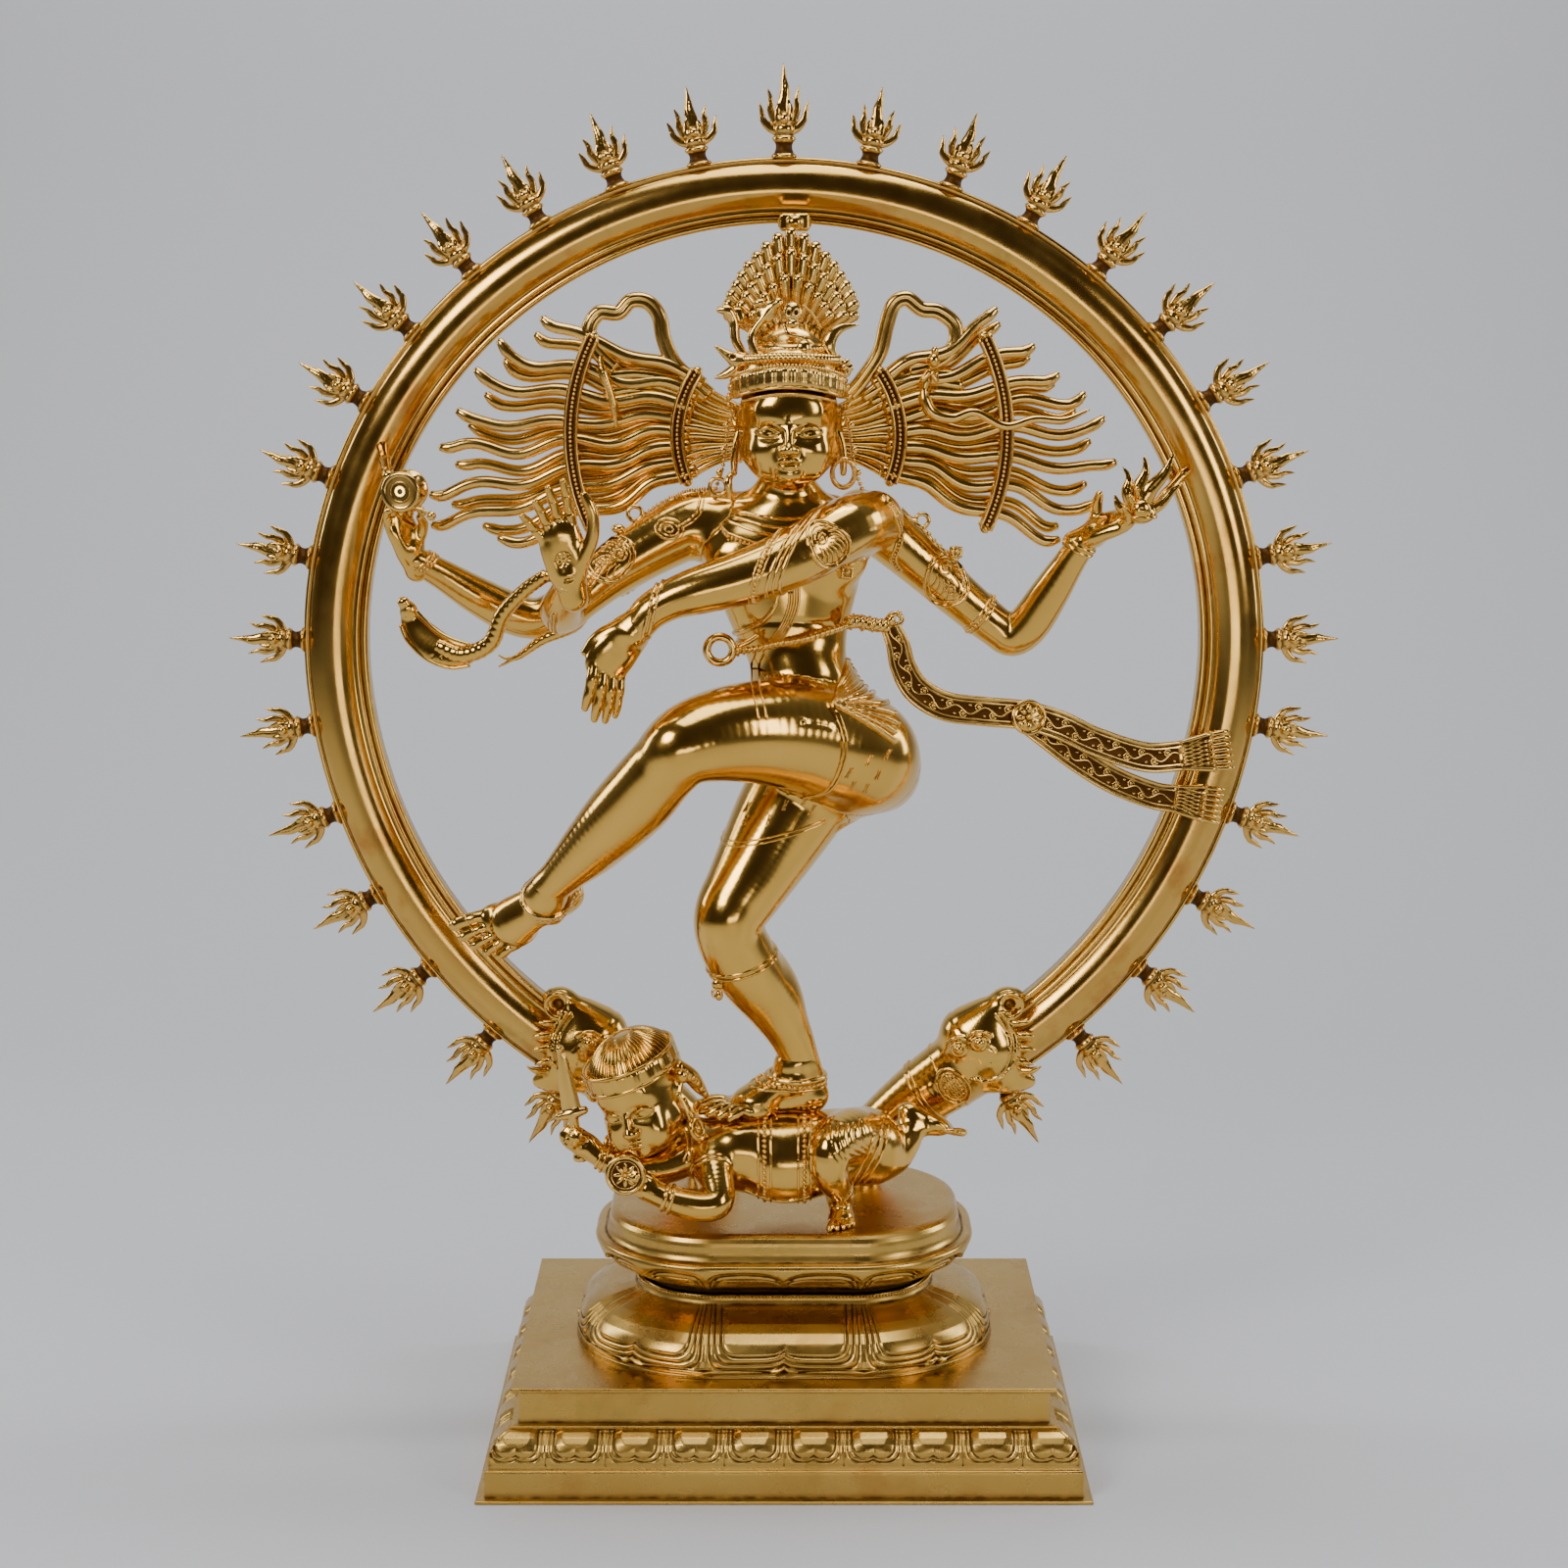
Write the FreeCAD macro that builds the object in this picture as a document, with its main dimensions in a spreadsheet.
import FreeCAD, Part
import Sketcher
import math
import os
from FreeCAD import Placement, Rotation, Vector

# A cast brass nataraja on a lotus pedestal and a moulded plinth, inside a ring of flames.
# Origin: centre of the plinth's underside.  +X is the viewer's right, +Y the back, +Z up.
# "right" and "left" in the names of limbs are the figure's own right and left.

doc = FreeCAD.newDocument("nataraja")

# ---------------------------------------------------------------- driving sizes

SIZES = [
    ("plinth_width", 528.0, "flange, side to side"),
    ("plinth_depth", 390.0, "flange, front to back"),
    ("flange_top", 2.5, "top of the foot flange"),
    ("block_inset", 8.0, "upright block, inside the flange"),
    ("block_top", 26.4, "top of the upright block"),
    ("band_inset", 10.0, "petal band, inside the flange"),
    ("band_top", 56.0, "top of the petal band"),
    ("band_round", 18.0, "rounded shoulder of the petal band"),
    ("fillet_inset", 29.0, "thin hatched fillet above the band"),
    ("fillet_top", 59.0, "top of the hatched fillet"),
    ("neck_inset", 36.0, "recessed neck"),
    ("neck_top", 88.5, "top of the neck"),
    ("slab_inset", 29.5, "top slab"),
    ("slab_top", 92.5, "top of the slab"),
    ("plinth_wall", 5.0, "wall of the hollow plinth"),
    ("plinth_ceiling", 87.0, "underside of the slab, inside the hollow plinth"),
    ("lotus_width", 376.0, "lower lotus, side to side"),
    ("lotus_depth", 288.0, "lower lotus, front to back"),
    ("lotus_height", 42.0, "lower lotus, up from the slab"),
    ("lotus_round", 36.0, "rounded top edge of the lower lotus"),
    ("waist_width", 262.0, "waist between the two lotuses"),
    ("waist_depth", 174.0, "waist, front to back"),
    ("waist_top", 150.0, "top of the waist"),
    ("rim_width", 334.0, "upper lotus rim"),
    ("rim_depth", 248.0, "upper lotus rim, front to back"),
    ("rim_top", 184.0, "top of the upper lotus rim"),
    ("rim_round", 26.0, "rounded underside of the upper lotus"),
    ("plateau_width", 316.0, "plateau under the dwarf"),
    ("plateau_depth", 230.0, "plateau, front to back"),
    ("plateau_top", 210.0, "top of the plateau"),
    ("plateau_round", 6.0, "rounded edge of the plateau"),
    ("pedestal_wall", 8.0, "wall of the hollow pedestal"),
    ("stud_bore", 8.0, "M8 studs"),
    ("stud_across", 120.0, "pedestal studs, out from the middle"),
    ("stud_back", 85.0, "pedestal studs, forward and back"),
    ("nut_flats", 13.0, "M8 nut across its flats"),
    ("nut_tall", 6.8, "M8 nut height"),
    ("nut_flange", 17.0, "flange of the nut"),
    ("arch_height", 706.0, "middle of the ring above the ground"),
    ("arch_outer", 425.6, "outer radius of the ring"),
    ("arch_inner", 369.5, "inner radius of the ring"),
    ("arch_plane", 40.0, "plane of the ring behind the figure's axis"),
    ("arch_thick", 30.0, "ring, front to back"),
    ("arch_round_to", 95.0, "degrees from the top where the ring starts to open"),
    ("arch_end", 148.0, "degrees from the top where the ring ends"),
    ("arch_open", 50.0, "how much larger the radius of the opening arcs is"),
    ("flame_count", 31.0, "flames round the ring"),
    ("flame_pitch", 9.9, "degrees between flames"),
    ("flame_tall", 68.0, "flame above the ring"),
    ("flame_top_tall", 81.0, "the flame at the top"),
    ("peg_radius", 9.0, "pegs between the castings"),
    ("peg_deep", 16.0, "depth of a peg in its socket"),
    ("peg_gap", 0.2, "clearance round a peg"),
]

sheet = doc.addObject("Spreadsheet::Sheet", "Sizes")
for row, (alias, value, note) in enumerate(SIZES, start=1):
    sheet.set(f"A{row}", note)
    sheet.set(f"B{row}", str(value))
    sheet.setAlias(f"B{row}", alias)
doc.recompute()


def size(alias):
    """The value of one cell of the sheet."""
    return float(sheet.get(alias))


def half(alias):
    """Half the value of one cell of the sheet."""
    return size(alias) / 2


def worth(expression):
    """What an expression over the sheet comes to."""
    return float(sheet.evalExpression(expression))


# ---------------------------------------------------------------- PartDesign helpers


def new_body(name):
    """An empty PartDesign body that carries the node's name."""
    body = doc.addObject("PartDesign::Body", name)
    body.Label = name
    return body


def sketch_on(body, name, role="XY_Plane", offset=None):
    """A sketch on one of the body's own origin planes, lifted by an expression."""
    sketch = body.newObject("Sketcher::SketchObject", name)
    plane = next(f for f in body.Origin.OriginFeatures if f.Role == role)
    sketch.AttachmentSupport = [(plane, "")]
    sketch.MapMode = "FlatFace"
    if offset:
        sketch.setExpression("AttachmentOffset.Base.z", offset)
    return sketch


def rectangle(sketch, width, depth, corner=None):
    """A centred rectangle, its size and corner radius bound to expressions."""
    w, d = worth(width) / 2, worth(depth) / 2
    r = worth(corner) if corner else 0.0
    ends = [((r - w, -d), (w - r, -d)), ((w, r - d), (w, d - r)),
            ((w - r, d), (r - w, d)), ((-w, d - r), (-w, r - d))]
    for start, end in ends:
        sketch.addGeometry(Part.LineSegment(Vector(*start, 0), Vector(*end, 0)))
    if corner:
        centres = [(w - r, r - d, 270), (w - r, d - r, 0), (r - w, d - r, 90), (r - w, r - d, 180)]
        for x, y, start in centres:
            circle = Part.Circle(Vector(x, y, 0), Vector(0, 0, 1), r)
            arc = Part.ArcOfCircle(circle, math.radians(start), math.radians(start + 90))
            sketch.addGeometry(arc)
        for side in range(4):
            arc, following = 4 + side, (side + 1) % 4
            sketch.addConstraint(Sketcher.Constraint("Tangent", side, 2, arc, 1))
            sketch.addConstraint(Sketcher.Constraint("Tangent", arc, 2, following, 1))
        for arc in (5, 6, 7):
            sketch.addConstraint(Sketcher.Constraint("Equal", 4, arc))
        sketch.addConstraint(Sketcher.Constraint("Symmetric", 7, 3, 5, 3, -1, 1))
    else:
        for side in range(4):
            sketch.addConstraint(Sketcher.Constraint("Coincident", side, 2, (side + 1) % 4, 1))
        sketch.addConstraint(Sketcher.Constraint("Symmetric", 0, 1, 1, 2, -1, 1))
    for line, kind in ((0, "Horizontal"), (1, "Vertical"), (2, "Horizontal"), (3, "Vertical")):
        sketch.addConstraint(Sketcher.Constraint(kind, line))
    across = sketch.addConstraint(Sketcher.Constraint("Distance", 3, 1, 1, 2 * w))
    sketch.setExpression(f"Constraints[{across}]", width)
    along = sketch.addConstraint(Sketcher.Constraint("Distance", 0, 1, 2, 2 * d))
    sketch.setExpression(f"Constraints[{along}]", depth)
    if corner:
        bend = sketch.addConstraint(Sketcher.Constraint("Radius", 4, r))
        sketch.setExpression(f"Constraints[{bend}]", corner)
    return sketch


def circles(sketch, places, diameter):
    """Circles at (x expression, y expression) places, all of one bound diameter."""
    for x, y in places:
        index = sketch.addGeometry(Part.Circle(Vector(20, 20, 0), Vector(0, 0, 1), 4))
        for kind, value in (("DistanceX", x), ("DistanceY", y)):
            place = sketch.addConstraint(Sketcher.Constraint(kind, -1, 1, index, 3, 20.0))
            sketch.setExpression(f"Constraints[{place}]", value)
        wide = sketch.addConstraint(Sketcher.Constraint("Diameter", index, 8.0))
        sketch.setExpression(f"Constraints[{wide}]", diameter)
    return sketch


def pad(body, sketch, length):
    """Raise a sketch by a bound length."""
    feature = body.newObject("PartDesign::Pad", "Pad_" + sketch.Name)
    feature.Profile = sketch
    feature.setExpression("Length", length)
    sketch.Visibility = False
    return feature


def pocket(body, sketch, length):
    """Cut upwards from a sketch by a bound length, and make sure that it cut something."""
    doc.recompute()
    before = body.Shape.Volume
    feature = body.newObject("PartDesign::Pocket", "Pocket_" + sketch.Name)
    feature.Profile = sketch
    feature.Reversed = True
    feature.setExpression("Length", length)
    doc.recompute()
    if not body.Shape.Volume < before - 1:
        raise RuntimeError(f"{feature.Name} cuts nothing")
    return feature


def fillet_at(body, height, radius, tolerance=0.2):
    """Round every outer edge of the body's solid that lies at one height."""
    doc.recompute()
    base = body.Tip
    reach = base.Shape.BoundBox.XLength
    edges = []
    for number, edge in enumerate(base.Shape.Edges, start=1):
        box = edge.BoundBox
        if abs(box.ZMin - height) < tolerance and abs(box.ZMax - height) < tolerance:
            edges.append((f"Edge{number}", box, edge))
    outer = max(max(abs(box.XMin), abs(box.XMax)) for _, box, _ in edges)
    chosen = [name for name, box, edge in edges if on_outline(edge, edges, outer)]
    feature = body.newObject("PartDesign::Fillet", f"Fillet_{round(height)}_{round(reach)}")
    feature.Base = (base, chosen)
    feature.setExpression("Radius", radius)
    return feature


def on_outline(edge, edges, outer):
    """True if an edge belongs to the outermost loop among the edges at its height."""
    wires = Part.sortEdges([e for _, _, e in edges])
    widest = max(wires, key=lambda loop: max(e.BoundBox.XMax for e in loop))
    middle = edge.valueAt((edge.FirstParameter + edge.LastParameter) / 2)
    return any(e.distToShape(Part.Vertex(middle))[0] < 0.01 for e in widest)


# ---------------------------------------------------------------- plinth and pedestal


def inset(step):
    """Width and depth expressions for a plinth layer set in from the flange."""
    return (f"Sizes.plinth_width - 2 * ({step})", f"Sizes.plinth_depth - 2 * ({step})")


STUD_PLACES = [(f"{x}Sizes.stud_across", f"{y}Sizes.stud_back") for x in ("", "-") for y in ("", "-")]


def make_plinth():
    """Hollow moulded plinth, open below, with holes for the studs."""
    body = new_body("plinth")
    layers = [("flange", "0", "0", "Sizes.flange_top"),
              ("block", "Sizes.block_inset", "Sizes.flange_top", "Sizes.block_top"),
              ("band", "Sizes.band_inset", "Sizes.block_top", "Sizes.band_top"),
              ("hatched", "Sizes.fillet_inset", "Sizes.band_top", "Sizes.fillet_top"),
              ("neck", "Sizes.neck_inset", "Sizes.fillet_top", "Sizes.neck_top"),
              ("slab", "Sizes.slab_inset", "Sizes.neck_top", "Sizes.slab_top")]
    for name, step, low, high in layers:
        sketch = rectangle(sketch_on(body, name, offset=low), *inset(step))
        pad(body, sketch, f"{high} - {low}")
        if name == "band":
            fillet_at(body, size("band_top"), "Sizes.band_round")
    wide = sketch_on(body, "wide_hollow")
    rectangle(wide, *inset("Sizes.band_inset + Sizes.plinth_wall + 1"))
    pocket(body, wide, "Sizes.block_top + Sizes.plinth_wall")
    tall = sketch_on(body, "tall_hollow")
    rectangle(tall, *inset("Sizes.neck_inset + Sizes.plinth_wall"))
    pocket(body, tall, "Sizes.plinth_ceiling")
    holes = sketch_on(body, "stud_holes", offset="Sizes.neck_top - 10")
    circles(holes, STUD_PLACES, "Sizes.stud_bore + 0.6")
    pocket(body, holes, "20")
    return body


def make_pedestal():
    """Hollow double lotus and plateau in one casting, with sockets for the studs."""
    body = new_body("lotus_pedestal")
    lotus_top = "Sizes.slab_top + Sizes.lotus_height"
    layers = [("lower_lotus", "lotus", "Sizes.slab_top", lotus_top, "0.44"),
              ("waist", "waist", lotus_top, "Sizes.waist_top", "0.42"),
              ("upper_lotus", "rim", "Sizes.waist_top", "Sizes.rim_top", "0.43"),
              ("plateau", "plateau", "Sizes.rim_top", "Sizes.plateau_top", "0.43")]
    for name, step, low, high, share in layers:
        width, depth = f"Sizes.{step}_width", f"Sizes.{step}_depth"
        sketch = sketch_on(body, name, offset=low)
        rectangle(sketch, width, depth, corner=f"{depth} * {share}")
        pad(body, sketch, f"{high} - ({low})")
        if name == "lower_lotus":
            fillet_at(body, size("slab_top") + size("lotus_height"), "Sizes.lotus_round")
        if name == "upper_lotus":
            fillet_at(body, size("waist_top"), "Sizes.rim_round")
    fillet_at(body, size("plateau_top"), "Sizes.plateau_round")
    wide = sketch_on(body, "wide_hollow", offset="Sizes.slab_top")
    rectangle(wide, "Sizes.lotus_width - 2.5 * Sizes.pedestal_wall",
              "Sizes.lotus_depth - 2.5 * Sizes.pedestal_wall", corner="Sizes.lotus_depth * 0.4")
    pocket(body, wide, "2 * Sizes.pedestal_wall")
    tall = sketch_on(body, "tall_hollow", offset="Sizes.slab_top")
    rectangle(tall, "Sizes.waist_width - 2 * Sizes.pedestal_wall",
              "Sizes.waist_depth - 2 * Sizes.pedestal_wall", corner="Sizes.waist_depth * 0.38")
    pocket(body, tall, "Sizes.plateau_top - Sizes.slab_top - Sizes.pedestal_wall")
    tapped = sketch_on(body, "stud_sockets", offset="Sizes.slab_top")
    circles(tapped, STUD_PLACES, "Sizes.stud_bore")
    pocket(body, tapped, "30")
    return body


# ---------------------------------------------------------------- free-form helpers


def node(name, shape, placement=None):
    """A named piece whose shape is made by the functions below."""
    feature = doc.addObject("Part::Feature", name)
    feature.Label = name
    feature.Shape = shape
    feature.Placement = placement or Placement()
    return feature


def section(centre, direction, across, along=None):
    """A closed round or oval section, square to a direction."""
    turn = Rotation(Vector(0, 0, 1), direction)
    points = []
    for corner in range(8):
        angle = math.pi * corner / 4
        out = Vector(across * math.cos(angle), (along or across) * math.sin(angle), 0)
        points.append(centre + turn.multVec(out))
    curve = Part.BSplineCurve()
    curve.interpolate(points, PeriodicFlag=True)
    return Part.Wire(curve.toShape())


def loft(stations, rounded=True):
    """A solid through (x, y, z, radius) stations, with rounded ends."""
    points = [Vector(*s[:3]) for s in stations]
    radii = [s[3] for s in stations]
    ways = []
    for i in range(len(points)):
        way = Vector()
        if i > 0:
            way += (points[i] - points[i - 1]).normalize()
        if i < len(points) - 1:
            way += (points[i + 1] - points[i]).normalize()
        ways.append(way.normalize())
    wires = [section(p, w, r) for p, w, r in zip(points, ways, radii)]
    if rounded:
        for reach, share in ((0.55, 0.82), (0.9, 0.4)):
            first = points[0] - ways[0] * radii[0] * reach
            last = points[-1] + ways[-1] * radii[-1] * reach
            wires.insert(0, section(first, ways[0], radii[0] * share))
            wires.append(section(last, ways[-1], radii[-1] * share))
    return Part.makeLoft(wires, True, False)


def oval(centre, width, depth, height, tilt=0.0):
    """An ellipsoid, tilted in the plane of the ring by an angle in degrees."""
    ball = Part.makeSphere(1.0)
    stretch = FreeCAD.Matrix()
    stretch.scale(width / 2, depth / 2, height / 2)
    shape = ball.transformGeometry(stretch)
    shape.Placement = Placement(Vector(*centre), Rotation(Vector(0, 1, 0), tilt))
    return shape


def join(*shapes):
    """One solid out of several that overlap."""
    whole = shapes[0].multiFuse(list(shapes[1:])) if len(shapes) > 1 else shapes[0]
    solids = whole.Solids
    if len(solids) != 1:
        raise RuntimeError(f"{len(solids)} solids where one was meant")
    return solids[0]


def rod(start, end, radius):
    """A straight round bar between two points."""
    start, end = Vector(*start), Vector(*end)
    return Part.makeCylinder(radius, (end - start).Length, start, end - start)


def ribbon(stations, thick):
    """A flat band through (x, y, z, width) stations that stands in the plane of the ring."""
    points = [Vector(*s[:3]) for s in stations]
    wires = []
    for i, point in enumerate(points):
        way = points[min(i + 1, len(points) - 1)] - points[max(i - 1, 0)]
        side = Vector(-way.z, 0, way.x).normalize() * (stations[i][3] / 2)
        deep = Vector(0, thick / 2, 0)
        corners = [point - side - deep, point + side - deep, point + side + deep, point - side + deep]
        wires.append(Part.makePolygon(corners + corners[:1]))
    return Part.makeLoft(wires, True, False)


def trimmed(shape, *others):
    """A piece cut back to the faces of its neighbours; only its largest solid is kept."""
    for other in others:
        if shape.BoundBox.intersect(other.BoundBox):
            shape = shape.cut(other)
    return max(shape.Solids, key=lambda solid: solid.Volume)


def peg_joint(piece, host, at, way):
    """Give a piece a round peg into its host, and give the host the socket for it."""
    way = Vector(*way).normalize()
    start = Vector(*at) - way * 6
    reach = size("peg_deep") + 6
    peg = Part.makeCylinder(size("peg_radius"), reach, start, way)
    socket = Part.makeCylinder(size("peg_radius") + size("peg_gap"), reach + 0.5, start, way)
    piece = max(trimmed(piece, host).fuse(peg).Solids, key=lambda solid: solid.Volume)
    host = max(host.cut(socket).Solids, key=lambda solid: solid.Volume)
    return piece, trimmed(host, piece)


# ---------------------------------------------------------------- ring of flames


def arch_section():
    """Section of the ring at its top: a domed front, a stepped lip at each edge, a flat back."""
    inner, outer = size("arch_inner"), size("arch_outer")
    front = size("arch_plane") - half("arch_thick")
    back = size("arch_plane") + half("arch_thick")
    lip, step = 5.0, 3.0
    low = [Vector(0, back, inner), Vector(0, front + 12, inner), Vector(0, front + 12, inner + lip)]
    high = [Vector(0, front + 12, outer - lip / 2), Vector(0, front + 14, outer), Vector(0, back, outer)]
    dome_start = low[-1] + Vector(0, -step, 0)
    dome_end = high[0] + Vector(0, -step, 0)
    crown = Vector(0, front, (inner + outer) / 2)
    edges = [Part.LineSegment(low[0], low[1]), Part.LineSegment(low[1], low[2]),
             Part.LineSegment(low[2], dome_start), Part.Arc(dome_start, crown, dome_end),
             Part.LineSegment(dome_end, high[0]), Part.LineSegment(high[0], high[1]),
             Part.LineSegment(high[1], high[2]), Part.LineSegment(high[2], low[0])]
    face = Part.Face(Part.Wire([edge.toShape() for edge in edges]))
    face.translate(Vector(0, 0, size("arch_height")))
    return face


def arch_point(angle, radius):
    """A point of the ring's plane, by degrees from the top and radius at the top."""
    turn = math.radians(angle)
    middle = Vector(0, size("arch_plane"), size("arch_height"))
    bend, grow = math.radians(size("arch_round_to")), size("arch_open")
    if abs(turn) > bend:
        side = math.copysign(1, angle)
        middle -= Vector(side * math.sin(bend), 0, math.cos(bend)) * grow
        return middle + Vector(math.sin(turn), 0, math.cos(turn)) * (radius + grow)
    return middle + Vector(math.sin(turn), 0, math.cos(turn)) * radius


def opening_angle():
    """Angle about the opening arc's own centre at which the ring ends."""
    return size("arch_end") - 3.0


def make_arch():
    """The ring: one arc about its middle, and one that opens wider at each side."""
    middle = Vector(0, 0, size("arch_height"))
    bend, grow = size("arch_round_to"), size("arch_open")
    face = arch_section()
    start = face.copy()
    start.rotate(middle, Vector(0, 1, 0), -bend)
    ring = start.revolve(middle, Vector(0, 1, 0), 2 * bend)
    arcs = []
    for side in (-1, 1):
        turn = math.radians(side * bend)
        centre = middle - Vector(math.sin(turn), 0, math.cos(turn)) * grow
        end_face = face.copy()
        end_face.rotate(middle, Vector(0, 1, 0), side * bend)
        arcs.append(end_face.revolve(centre, Vector(0, 1, 0), side * (opening_angle() - bend)))
    return join(ring, *arcs)


def make_flame(tall):
    """A flame on a flared foot: a bulb, a long tongue and four side tongues."""
    share = tall / size("flame_tall")
    profile = [(0, 0), (11, 0), (10, 2), (4.2, 6), (4.2, 10), (7.5, 15), (9.5, 22), (7, 29), (0, 33)]
    points = [Vector(radius, 0, height * share) for radius, height in profile]
    foot = Part.Face(Part.makePolygon(points + points[:1])).revolve(Vector(), Vector(0, 0, 1), 360)
    tongue = Part.makeCone(6.2, 0.6, tall - 20 * share, Vector(0, 0, 20 * share))
    sides = []
    for way in (-1, 1):
        for start, reach, rise, lean in ((14, 14, 26, 0), (18, 21, 20, -2)):
            root = Vector(way * 3, lean, start * share)
            tip = Vector(way * reach, lean, (start + rise) * share)
            sides.append(Part.makeCone(4.0, 0.6, (tip - root).Length, root, tip - root))
    return join(foot, tongue, *sides)


def make_flames():
    """The flames round the ring, the top one larger."""
    small, large = make_flame(size("flame_tall")), make_flame(size("flame_top_tall"))
    reach = (int(size("flame_count")) - 1) // 2
    for step in range(-reach, reach + 1):
        angle = step * size("flame_pitch")
        seat = arch_point(angle, size("arch_outer"))
        placement = Placement(seat, Rotation(Vector(0, 1, 0), angle))
        node(f"flame_{step + reach + 1:02d}", small if step else large, placement)


# ---------------------------------------------------------------- makaras


def make_makara(side):
    """A sea-beast that swallows one end of the ring; its neck curves down to the plateau."""
    plane = size("arch_plane")
    neck = loft([(side * 196, plane, 342, 34), (side * 166, plane + 2, 318, 33),
                 (side * 124, plane + 10, 287, 28), (side * 88, plane + 18, 256, 24),
                 (side * 66, plane + 24, 226, 23), (side * 62, plane + 25, 210, 24)], rounded=False)
    skull = oval((side * 190, plane - 4, 346), 62, 66, 76, side * -45)
    snout = loft([(side * 176, plane - 10, 362, 18), (side * 190, plane - 12, 382, 11),
                  (side * 203, plane - 12, 388, 7), (side * 208, plane - 12, 378, 5)])
    jaw = loft([(side * 200, plane - 6, 322, 15), (side * 214, plane - 8, 316, 8),
                (side * 221, plane - 8, 308, 5)])
    tenon = Part.makeCylinder(12, 5, Vector(side * 62, plane + 25, size("plateau_top") - 4))
    bolt = Part.makeCylinder(half("stud_bore"), 26, Vector(side * 62, plane + 25, BOLT_FOOT))
    floor = Part.makeBox(900, 400, 100, Vector(-450, -200, size("plateau_top") - 100))
    return join(join(neck, skull, snout, jaw).cut(floor).Solids[0], tenon, bolt)


STUD_GRIP = 28.0        # how far a stud is screwed into the pedestal
STUD_SHOWS = 9.0        # how far it shows below the plinth's ceiling
BOLT_FOOT = 188.0       # height of the lower end of the bolts that hang through the plateau


def nut_shape():
    """A flanged M8 nut with its bore, seated face up."""
    flats, tall = size("nut_flats"), size("nut_tall")
    corner = flats / math.sqrt(3)
    turns = [math.radians(60 * k) for k in range(7)]
    outline = Part.makePolygon([Vector(corner * math.cos(a), corner * math.sin(a), -tall) for a in turns])
    hexagon = Part.Face(outline).extrude(Vector(0, 0, tall))
    flange = Part.makeCylinder(half("nut_flange"), 1.6, Vector(0, 0, -1.6))
    bore = Part.makeCylinder(half("stud_bore"), tall + 2, Vector(0, 0, -tall - 1))
    return hexagon.fuse(flange).cut(bore).Solids[0]


def make_fasteners(hanging):
    """Studs from under the plinth's slab into the pedestal, their nuts, and the nuts on the hanging bolts."""
    studs, nuts = [], []
    seat = size("plinth_ceiling")
    reach = size("slab_top") + STUD_GRIP - seat + STUD_SHOWS
    for x in (-1, 1):
        for y in (-1, 1):
            place = Vector(x * size("stud_across"), y * size("stud_back"), seat)
            studs.append(Part.makeCylinder(half("stud_bore"), reach, place - Vector(0, 0, STUD_SHOWS)))
            nut = nut_shape()
            nut.translate(place)
            nuts.append(nut)
    for x, y in hanging:
        nut = nut_shape()
        nut.translate(Vector(x, y, size("plateau_top") - size("pedestal_wall")))
        nuts.append(nut)
    node("pedestal_studs", Part.makeCompound(studs))
    node("stud_nuts", Part.makeCompound(nuts))


# ---------------------------------------------------------------- figure

# Middle, half-width and half-depth of the trunk at each height, waist and hips shifted to +X.
TRUNK = [(570, 44, -38, 26, 22), (578, 45, -38, 44, 34), (598, 46, -38, 62, 46), (624, 44, -40, 66, 50),
         (650, 36, -42, 60, 47), (680, 21, -44, 48, 39), (706, 11, -45, 43, 36), (735, 5, -44, 49, 38),
         (772, 2, -42, 62, 42), (808, 1, -40, 74, 43), (832, 2, -39, 70, 37), (848, 2, -39, 48, 30),
         (858, 2, -40, 30, 25)]

NECK = [(2, -41, 846, 21), (2, -46, 858, 19.5), (3, -54, 878, 20)]

LIMBS = {
    "arm_right_front": [(-62, -34, 824, 25), (-100, -42, 804, 25), (-145, -52, 776, 21), (-184, -66, 754, 18),
                        (-182, -98, 764, 17), (-176, -130, 782, 13), (-181, -142, 806, 17),
                        (-190, -148, 828, 13), (-200, -150, 855, 7)],
    "arm_right_rear": [(-64, -8, 826, 23), (-110, 2, 800, 22), (-165, 10, 764, 19), (-216, 12, 735, 18),
                       (-262, 2, 754, 18), (-314, -18, 788, 12), (-334, -28, 808, 16), (-342, -32, 832, 12),
                       (-338, -36, 862, 6)],
    "arm_left_front": [(72, -54, 824, 26), (10, -112, 802, 25), (-52, -124, 781, 23),
                       (-108, -130, 762, 15.5), (-136, -131, 728, 16.5), (-156, -126, 680, 8)],
    "arm_left_rear": [(72, -6, 824, 24), (115, 2, 788, 23), (160, 8, 748, 20), (198, 10, 720, 19),
                      (226, 0, 752, 18), (260, -20, 808, 12), (284, -30, 820, 15), (306, -36, 808, 11),
                      (322, -38, 790, 6)],
    "leg_raised": [(62, -56, 628, 47), (20, -84, 646, 46), (-30, -118, 656, 42), (-84, -144, 648, 33),
                   (-122, -126, 602, 31), (-165, -104, 556, 24), (-205, -84, 512, 16), (-228, -70, 486, 16),
                   (-254, -56, 472, 12), (-276, -42, 462, 8)],
    "leg_standing": [(22, -38, 606, 46), (2, -48, 570, 44), (-26, -70, 530, 37), (-48, -84, 490, 31),
                     (-32, -72, 446, 29), (-4, -52, 396, 22), (18, -42, 346, 17), (4, -38, 320, 17),
                     (-30, -40, 310, 13), (-66, -42, 303, 8)],
}
HEEL = (30, -34, 318, 14)


def make_trunk():
    """Chest, belly and hips in one casting."""
    wires = [section(Vector(x, y, z), Vector(0, 0, 1), wide, deep) for z, x, y, wide, deep in TRUNK]
    return Part.makeLoft(wires, True, False)


def make_limb(name):
    """An arm with its hand, or a leg with its foot."""
    limb = loft(LIMBS[name])
    if name == "leg_standing":
        x, y, z, radius = HEEL
        return join(limb, loft([(x - radius, y, z + 6, radius), (x, y, z, radius * 0.9)]))
    return limb


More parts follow.
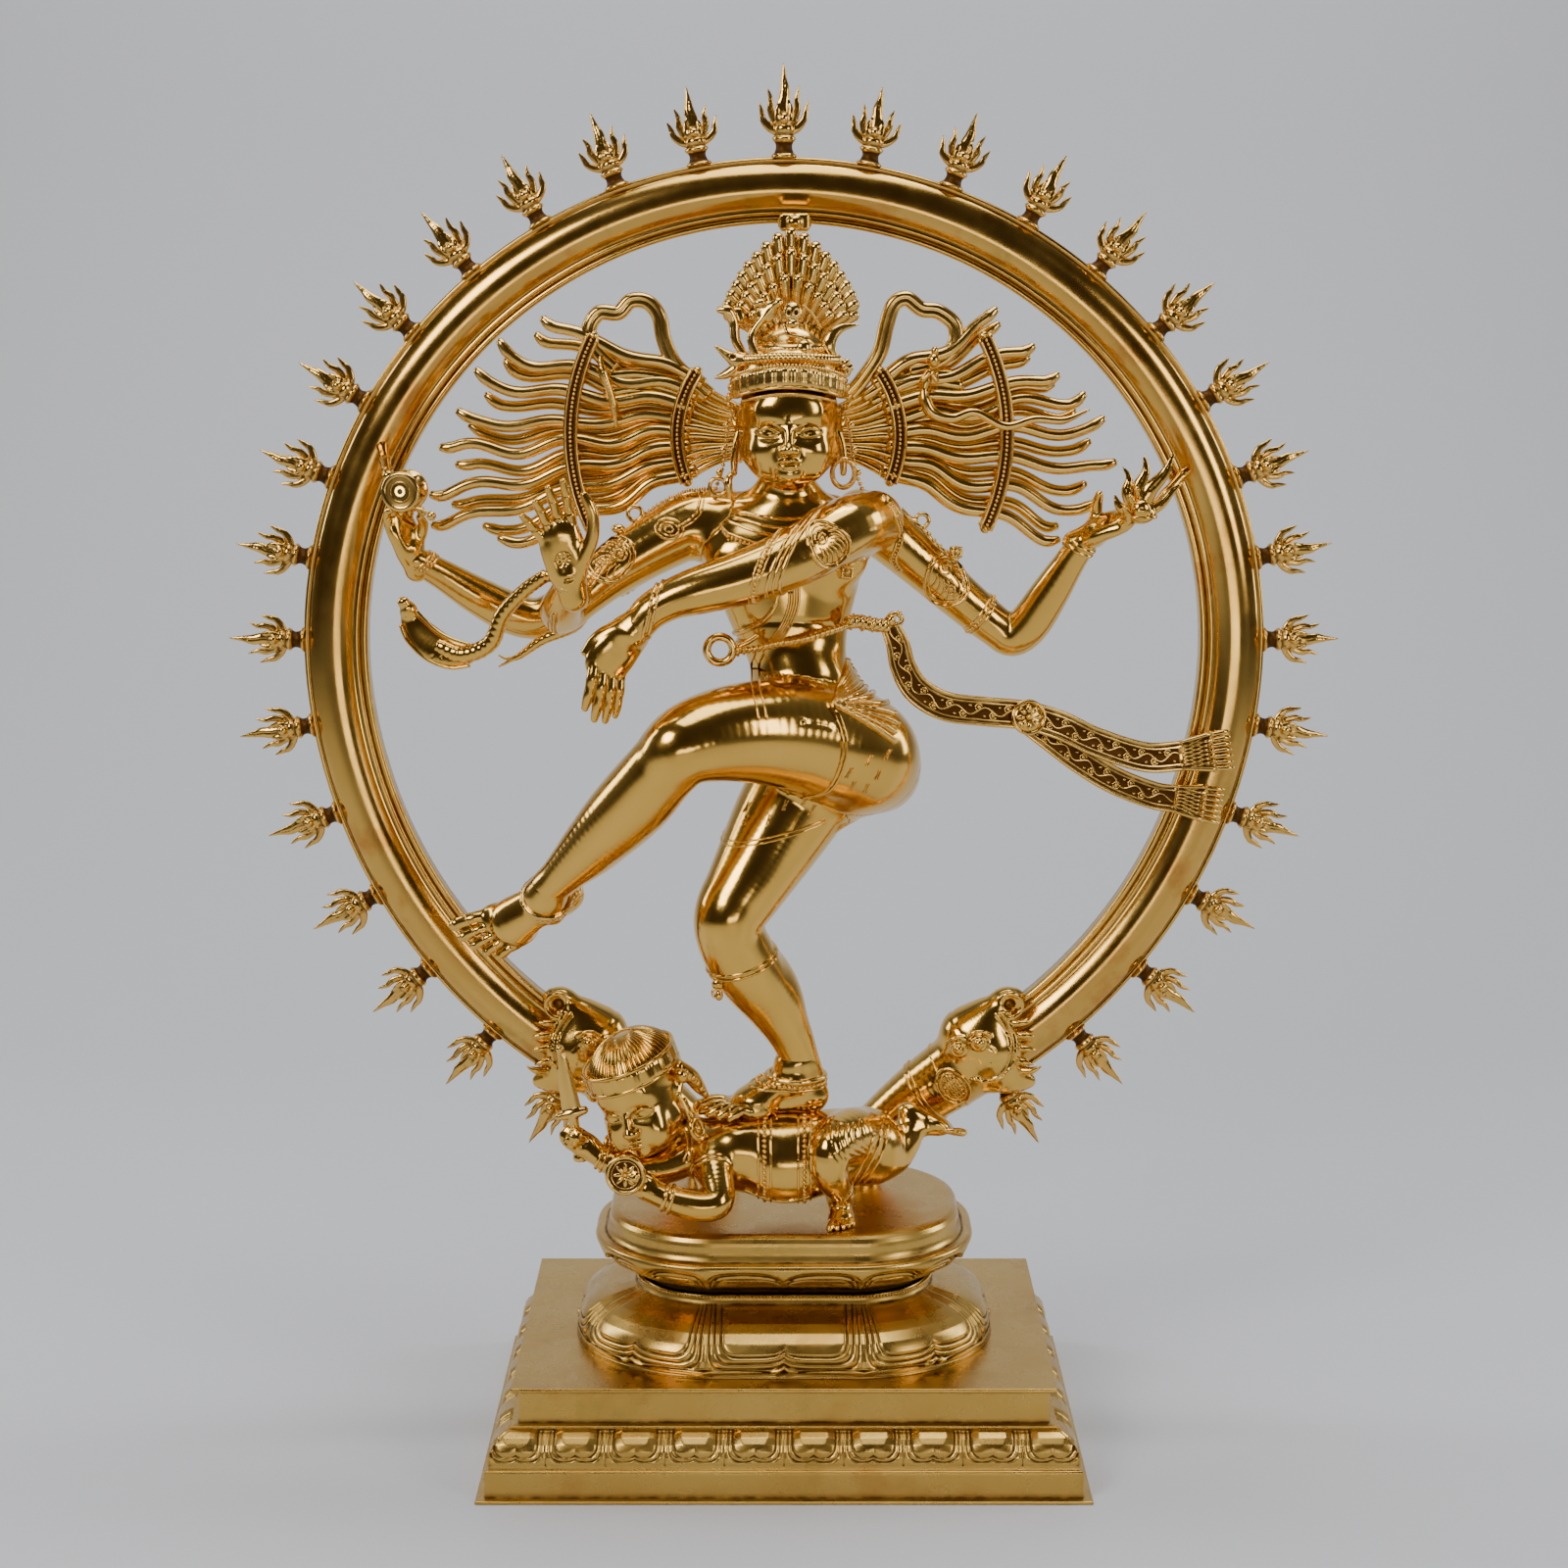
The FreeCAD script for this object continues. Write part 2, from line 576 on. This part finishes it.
def make_head():
    """A plain oval head on its neck, with long ears."""
    neck = loft(NECK, rounded=False)
    skull = oval((4, -64, 910), 84, 88, 100)
    ears = [rod((4 + side * 40, -58, 916), (4 + side * 47, -54, 862), 6) for side in (-1, 1)]
    return join(neck, skull, *ears)


def make_crown():
    """Jewelled band round the hair, a lower dome, and a base for the feathers."""
    band = Part.makeCone(47, 52, 26, Vector(6, -56, 930), Vector(0, 0.04, 1))
    dome = oval((6, -54, 954), 84, 84, 56)
    cap = Part.makeCone(30, 22, 22, Vector(6, -48, 972), Vector(0, 0.05, 1))
    return join(band, dome, cap)


def make_feather_crest():
    """A fan of rounded rods over the crown, on a thin leaf-shaped web."""
    spread, count, start = 34.0, 11, 38.0
    foot = Vector(7, -42, 990)
    rods = []
    for k in range(count):
        angle = math.radians(-spread + 2 * spread * k / (count - 1))
        reach = 80 - 26 * abs(math.sin(angle * 1.35)) - start
        way = Vector(math.sin(angle), 0, math.cos(angle))
        rods.append(Part.makeCylinder(3.6, reach, foot + way * start, way))
    base = Part.makeCone(24, 15, 22, Vector(6, -44, 984))
    web = fan_plate(foot, 56, 5, 55, 125)
    return join(base, web, *rods)


def fan_plate(middle, reach, thick, start, end):
    """A flat sector in the plane of the ring, between two angles above +X."""
    corners = [Vector(0, -thick / 2, 0), Vector(reach, -thick / 2, 0), Vector(reach, thick / 2, 0),
               Vector(0, thick / 2, 0)]
    face = Part.Face(Part.makePolygon(corners + corners[:1]))
    return swung(face, middle, start, end)


def swung(face, middle, start, end):
    """A face drawn on +X, turned about a middle in the plane of the ring and swept to an end angle."""
    axis = Vector(0, -1, 0)
    face.rotate(Vector(), axis, start)
    solid = face.revolve(Vector(), axis, end - start)
    solid.translate(middle)
    return solid


# Tips of the locks as (x, z), from the top one down, on the figure's own left and right.
LOCK_TIPS = {
    1: [(186, 996), (215, 971), (236, 946), (259, 929), (276, 901), (286, 865), (269, 829), (238, 804)],
    -1: [(-208, 994), (-247, 968), (-266, 943), (-282, 908), (-297, 882), (-306, 844), (-305, 816),
         (-245, 801)],
}
HAIR_CENTRE = (4, 0, 895)


def hair_arc(side, radius, start, end, thick):
    """A band across the locks: an arc about the back of the head, from angle to angle."""
    if side < 0:
        start, end = 180 - end, 180 - start
    disc = Part.Face(Part.Wire(Part.Circle(Vector(radius, 0, 0), Vector(0, 0, 1), thick).toShape()))
    return swung(disc, Vector(*HAIR_CENTRE), start, end)


def make_hair(side):
    """Eight flying locks, tied by two beaded bands, and a loop above them."""
    locks = []
    middle = Vector(*HAIR_CENTRE)
    for x, z in LOCK_TIPS[side]:
        way = Vector(x, middle.y, z) - middle
        locks.append(Part.makeCone(7.0, 3.2, way.Length * 0.7, middle + way * 0.3, way))
    edge = (-26, 34) if side > 0 else (146, 206)
    web = fan_plate(middle, 112, 8, *edge)
    loop = Part.makeTorus(30, 5, Vector(side * 112, 0, 985), Vector(0, 1, 0))
    stem = rod((side * 84, 0, 935), (side * 98, 0, 962), 6)
    bands = [hair_arc(side, 96, -22, 32, 6), hair_arc(side, 188, -24, 28, 5)]
    return join(web, stem, loop, *bands, *locks)


# ---------------------------------------------------------------- what the figure wears and holds


def make_waist_band():
    """Girdle round the belly that ends in a standing ring on the figure's right."""
    lean = Rotation(Vector(0, 1, 0), -8).multVec(Vector(0, 0, 1))
    low = Vector(8, -45, 720)
    outer = Part.Face(section(low, lean, 57, 45)).extrude(lean * 11)
    inner = Part.Face(section(low - lean, lean, 42, 32)).extrude(lean * 13)
    tail = rod((-20, -76, 721), (-43, -95, 721), 4.5)
    ring = Part.makeTorus(11, 3.6, Vector(-54, -95, 722), Vector(0, 1, 0))
    return join(outer.cut(inner), tail, ring)


def make_scarf():
    """A long scarf that flies from the waist to the ring and parts into two tails."""
    knot = oval((80, -66, 734), 34, 20, 22)
    run = ribbon([(84, -62, 734, 20), (94, -62, 712, 21), (106, -58, 684, 22), (138, -50, 662, 22),
                  (172, -42, 661, 22), (208, -32, 656, 24), (240, -24, 646, 23), (274, -12, 629, 22),
                  (318, 4, 613, 22), (356, 17, 616, 22), (388, 23.6, 620, 26)], 4)
    tail = ribbon([(206, -30, 652, 22), (232, -24, 636, 22), (259, -16, 614, 22), (290, -6, 592, 22),
                   (326, 8, 576, 22), (378, 23.6, 568, 24)], 4)
    rosette = Part.makeCylinder(13, 7, Vector(212, -35, 655), Vector(0, 1, 0))
    return join(knot, run, tail, rosette)


def make_drum():
    """A small waisted drum, its skins facing forward and back."""
    waist = Part.makeCone(17, 9, 11, Vector(-322, -50, 852), Vector(0.2, 1, 0))
    other = Part.makeCone(9, 17, 11, Vector(-322 + 2.15, -39.3, 852), Vector(0.2, 1, 0))
    return join(waist, other)


def make_palm_flame():
    """Fire held in the palm: a bowl and three tongues."""
    bowl = Part.makeSphere(13, Vector(304, -40, 834))
    tongues = []
    for x, lean, top in ((303, 6, 878), (308, 22, 884), (300, -8, 866)):
        way = Vector(x + lean, -40, top) - Vector(x, -40, 838)
        tongues.append(Part.makeCone(6.5, 0.8, way.Length, Vector(x, -40, 838), way))
    return join(bowl, *tongues)


def make_snake():
    """A cobra over the front right forearm, hood to one side and tail to the other."""
    front = loft([(-196, -84, 780, 6), (-218, -78, 768, 6), (-240, -72, 748, 7), (-252, -66, 722, 8),
                  (-278, -58, 712, 9), (-304, -52, 726, 10), (-318, -50, 742, 7)])
    back = loft([(-196, -86, 779, 6), (-178, -84, 778, 6), (-168, -74, 762, 6), (-178, -60, 738, 6),
                 (-206, -52, 724, 5), (-232, -48, 708, 3)])
    return join(front, back)


# ---------------------------------------------------------------- dwarf

DWARF_BOLTS = (-30, 40)         # X of the two bolts under the dwarf
DWARF_MIDDLE = -44              # Y of the dwarf's own middle plane
DWARF_BODY = [(-76, -42, 262, 22), (-52, -44, 254, 33), (-10, -44, 250, 35), (30, -44, 250, 36),
              (62, -40, 252, 38), (86, -32, 254, 24)]
DWARF_LIMBS = [
    [(-62, -66, 262, 19), (-58, -92, 246, 17), (-62, -106, 234, 15), (-84, -108, 234, 14),
     (-108, -106, 240, 12)],
    [(-64, -50, 262, 18), (-104, -74, 258, 16), (-136, -90, 262, 13), (-166, -88, 276, 11),
     (-182, -82, 290, 10)],
    [(62, -52, 260, 25), (52, -84, 274, 20), (48, -96, 270, 16), (48, -98, 246, 14), (49, -98, 222, 10)],
    [(76, -24, 256, 24), (106, -2, 264, 20), (130, 4, 270, 16), (150, 6, 274, 12), (166, 4, 266, 8)],
]


def make_dwarf():
    trunk = loft(DWARF_BODY)
    limbs = [loft(stretch) for stretch in DWARF_LIMBS]
    shield = Part.makeCylinder(17, 6, Vector(-136, -110, 270), Vector(0, 1, 0.1))
    floor = Part.makeBox(900, 500, 100, Vector(-450, -250, size("plateau_top") - 100))
    whole = join(trunk, shield, *limbs).cut(floor)
    whole = max(whole.Solids, key=lambda solid: solid.Volume)
    bolts = [Part.makeCylinder(half("stud_bore"), 50, Vector(x, DWARF_MIDDLE, BOLT_FOOT))
             for x in DWARF_BOLTS]
    return join(whole, *bolts)


def make_dwarf_head():
    skull = oval((-124, -66, 322), 70, 76, 86, -38)
    hair = oval((-112, -56, 340), 76, 76, 62, -38)
    neck = loft([(-104, -56, 292, 20), (-88, -50, 276, 20)], rounded=False)
    return join(skull, hair, neck)


def make_blade():
    """A short pointed blade with a round grip, held up by the dwarf."""
    grip = rod((-180, -82, 282), (-185, -82, 312), 5)
    guard = rod((-194, -82, 311), (-175, -82, 314), 4)
    blade = loft([(-185, -82, 312, 6.5), (-189, -82, 340, 4.5), (-194, -82, 370, 1.2)], rounded=False)
    return join(grip, guard, blade)


# ---------------------------------------------------------------- assembly


def drilled(body, places, diameter):
    """Holes through the plateau for the hanging bolts and a shallow seat for each tenon."""
    sketch = sketch_on(body, "bolt_holes", offset="Sizes.plateau_top - 2 * Sizes.pedestal_wall")
    circles(sketch, places, diameter)
    pocket(body, sketch, "3 * Sizes.pedestal_wall")


def main():
    makara_x, makara_y = 62, size("arch_plane") + 25
    make_plinth()
    pedestal = make_pedestal()
    bolts = [(x, DWARF_MIDDLE) for x in DWARF_BOLTS] + [(-makara_x, makara_y), (makara_x, makara_y)]
    drilled(pedestal, [(str(x), str(y)) for x, y in bolts], "Sizes.stud_bore + 0.6")
    seats = sketch_on(pedestal, "tenon_seats", offset="Sizes.plateau_top - 4")
    circles(seats, [(str(x), str(y)) for x, y in bolts[2:]], "24.4")
    pocket(pedestal, seats, "20")
    make_fasteners(bolts)

    arch = make_arch()
    make_flames()
    node("flame_arch", arch)

    dwarf, dwarf_head = make_dwarf(), make_dwarf_head()
    dwarf_head, dwarf = peg_joint(dwarf_head, dwarf, (-92, -52, 280), (0.7, 0.3, -0.6))
    blade = make_blade()
    dwarf = trimmed(dwarf, blade)
    for side, name in ((-1, "makara_left"), (1, "makara_right")):
        node(name, trimmed(make_makara(side), arch, dwarf, dwarf_head, blade))

    trunk = make_trunk()
    pieces = {name: make_limb(name) for name in LIMBS}
    pieces["head"] = make_head()
    hips = {"leg_raised": ((40, -62, 634), (1, 0.4, -0.1)), "leg_standing": ((20, -40, 600), (0.3, 0, 1))}
    roots = {"arm_right_front": ((-66, -36, 822), (1, 0, 0.1)),
             "arm_right_rear": ((-66, -8, 826), (1, -0.5, 0)),
             "arm_left_front": ((66, -44, 824), (-1, 0.2, 0)),
             "arm_left_rear": ((68, -8, 822), (-1, -0.5, 0)),
             "head": ((2, -42, 852), (0, 0, -1))}
    for name, (at, way) in {**hips, **roots}.items():
        pieces[name], trunk = peg_joint(pieces[name], trunk, at, way)
    pieces["arm_right_rear"] = trimmed(pieces["arm_right_rear"], pieces["arm_right_front"])
    pieces["arm_left_rear"] = trimmed(pieces["arm_left_rear"], pieces["arm_left_front"])
    pieces["leg_standing"] = trimmed(pieces["leg_standing"], pieces["leg_raised"])
    pieces["leg_raised"] = trimmed(pieces["leg_raised"], arch)
    pieces["leg_standing"], dwarf = peg_joint(pieces["leg_standing"], dwarf, (12, -38, 300), (0, 0, -1))

    crown = trimmed(make_crown(), pieces["head"])
    crest = trimmed(make_feather_crest(), crown)
    for side, name in ((-1, "hair_fan_right"), (1, "hair_fan_left")):
        node(name, trimmed(make_hair(side), trunk, pieces["head"], crown, pieces["arm_left_rear"],
                           pieces["arm_right_rear"], pieces["arm_right_front"]))

    lug = Part.makeBox(26, 50, 16, Vector(-4, -22, 1068))
    node("crest_lug", trimmed(lug, arch, crest))
    struts = [trimmed(rod((-338, -32, 862), (-352, 34, 886), 5), arch, pieces["arm_right_rear"]),
              trimmed(rod((308, -38, 828), (352, 34, 862), 5), arch, pieces["arm_left_rear"])]
    palm_flame = trimmed(make_palm_flame(), pieces["arm_left_rear"], struts[1])
    node("hand_struts", Part.makeCompound(struts))
    drum = trimmed(make_drum(), struts[0])
    pieces["arm_right_rear"] = trimmed(pieces["arm_right_rear"], drum)
    snake = trimmed(make_snake(), pieces["arm_right_rear"])
    pieces["arm_right_front"] = trimmed(pieces["arm_right_front"], snake)
    waist_band = trimmed(make_waist_band(), trunk, pieces["leg_raised"], pieces["leg_standing"])
    scarf = trimmed(make_scarf(), trunk, waist_band, arch, pieces["arm_left_rear"], pieces["leg_raised"])

    named = {"torso": trunk, "crown": crown, "feather_crest": crest, "drum": drum, "palm_flame": palm_flame,
             "snake": snake, "waist_band": waist_band, "scarf": scarf, "dwarf": dwarf,
             "dwarf_head": dwarf_head, "blade": blade, **pieces}
    for name, shape in named.items():
        node(name, shape)


def nodes_of(document):
    """Every piece: the PartDesign bodies and the free-form features."""
    return [o for o in document.Objects if o.TypeId in ("PartDesign::Body", "Part::Feature")]


def check(document):
    """Stop if an object failed to compute or a piece isn't made of closed, valid solids."""
    for item in document.Objects:
        if "Invalid" in item.State or "Error" in item.State:
            raise RuntimeError(f"{item.Label} failed: {item.State}")
    for item in nodes_of(document):
        shape = item.Shape
        if shape.isNull() or not shape.isValid() or not shape.Solids:
            raise RuntimeError(f"{item.Label} has no valid solid")


main()
doc.recompute()
check(doc)
os.makedirs("parts", exist_ok=True)
for item in nodes_of(doc):
    item.Shape.exportStep(f"parts/{item.Label}.step")
print(len(nodes_of(doc)), "nodes")
